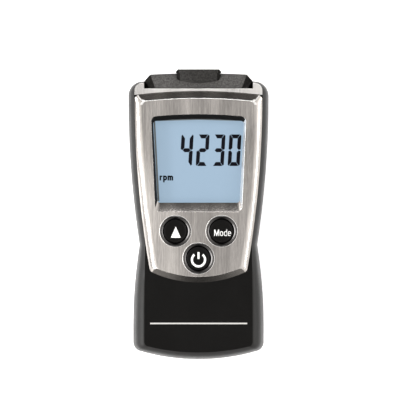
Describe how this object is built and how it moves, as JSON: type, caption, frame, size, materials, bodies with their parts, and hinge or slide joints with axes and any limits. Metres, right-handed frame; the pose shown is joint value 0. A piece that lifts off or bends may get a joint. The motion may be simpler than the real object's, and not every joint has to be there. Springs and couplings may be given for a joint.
{
  "type": "pocket tachometer",
  "caption": "Hand-held optical tachometer with a bright bevelled faceplate, a liquid crystal display, round keys and a light barrel at its top end.",
  "frame": {"origin": "middle of the footprint, on the surface that the instrument's back rests on", "axes": "+X to the right of the display, +Y along the body towards the sensor, +Z out of the display"},
  "size_m": [0.046, 0.095, 0.025],
  "materials": {
    "front_plastic": "fine satin moulded texture",
    "rear_plastic": "fine satin moulded texture",
    "silver_trim": "silver lacquer, satin",
    "silver_plate": "warm silver lacquer with a fine lengthwise brushed grain",
    "clear_pane": "clear polished acrylic",
    "display_glass": "pale blue liquid crystal display",
    "white_plastic": "plain moulded",
    "contact_rubber": "striped conductive rubber",
    "board": "green solder mask over glass laminate",
    "chip_black": "moulded",
    "key_black": "satin black with white printed signs",
    "ring_chrome": "polished dark chrome",
    "head_black": "fine grained",
    "barrel_black": "fine grained",
    "lens_clear": "clear polished",
    "led_clear": "water clear resin",
    "diode_dark": "dark filtering resin",
    "cell_jacket": "printed foil jacket without lettering",
    "spring_steel": "nickel plated",
    "screw_steel": "dark zinc plated"
  },
  "bodies": {
    "housing": {"front_shell": "front_plastic", "rear_shell": "rear_plastic", "top_collar": "silver_trim", "faceplate": "silver_plate", "display_window": "clear_pane", "lcd_glass": "display_glass", "lcd_frame": "white_plastic", "backlight_panel": "white_plastic", "contact_rubber": "contact_rubber", "main_board": "board", "controller_chip": "chip_black", "key_ring_up": "ring_chrome", "key_ring_mode": "ring_chrome", "key_ring_power": "ring_chrome", "switch_up": "chip_black", "switch_mode": "chip_black", "switch_power": "chip_black", "sensor_head": "head_black", "optics_barrel": "barrel_black", "emitter_lens": "lens_clear", "receiver_lens": "lens_clear", "emitter_led": "led_clear", "receiver_diode": "diode_dark", "battery_left": "cell_jacket", "battery_right": "cell_jacket", "battery_spring_left": "spring_steel", "battery_spring_right": "spring_steel", "contact_bridge": "spring_steel", "contact_minus": "spring_steel", "contact_plus": "spring_steel", "case_screws": "screw_steel"},
    "up_key": {"key_up": "key_black", "plunger_up": "white_plastic"},
    "mode_key": {"key_mode": "key_black", "plunger_mode": "white_plastic"},
    "power_key": {"key_power": "key_black", "plunger_power": "white_plastic"},
    "cover": {"battery_cover": "rear_plastic"}
  },
  "joints": [
    {"name": "up_press", "type": "slide", "parent": "housing", "child": "up_key", "axis": [0, 0, -1], "range_m": [0, 0.0005], "stiffness_N_per_m": 1000},
    {"name": "mode_press", "type": "slide", "parent": "housing", "child": "mode_key", "axis": [0, 0, -1], "range_m": [0, 0.0005], "stiffness_N_per_m": 1000},
    {"name": "power_press", "type": "slide", "parent": "housing", "child": "power_key", "axis": [0, 0, -1], "range_m": [0, 0.0005], "stiffness_N_per_m": 1000},
    {"name": "cover_slide", "type": "slide", "parent": "housing", "child": "cover", "axis": [0, -1, 0], "range_m": [0, 0.045]}
  ]
}
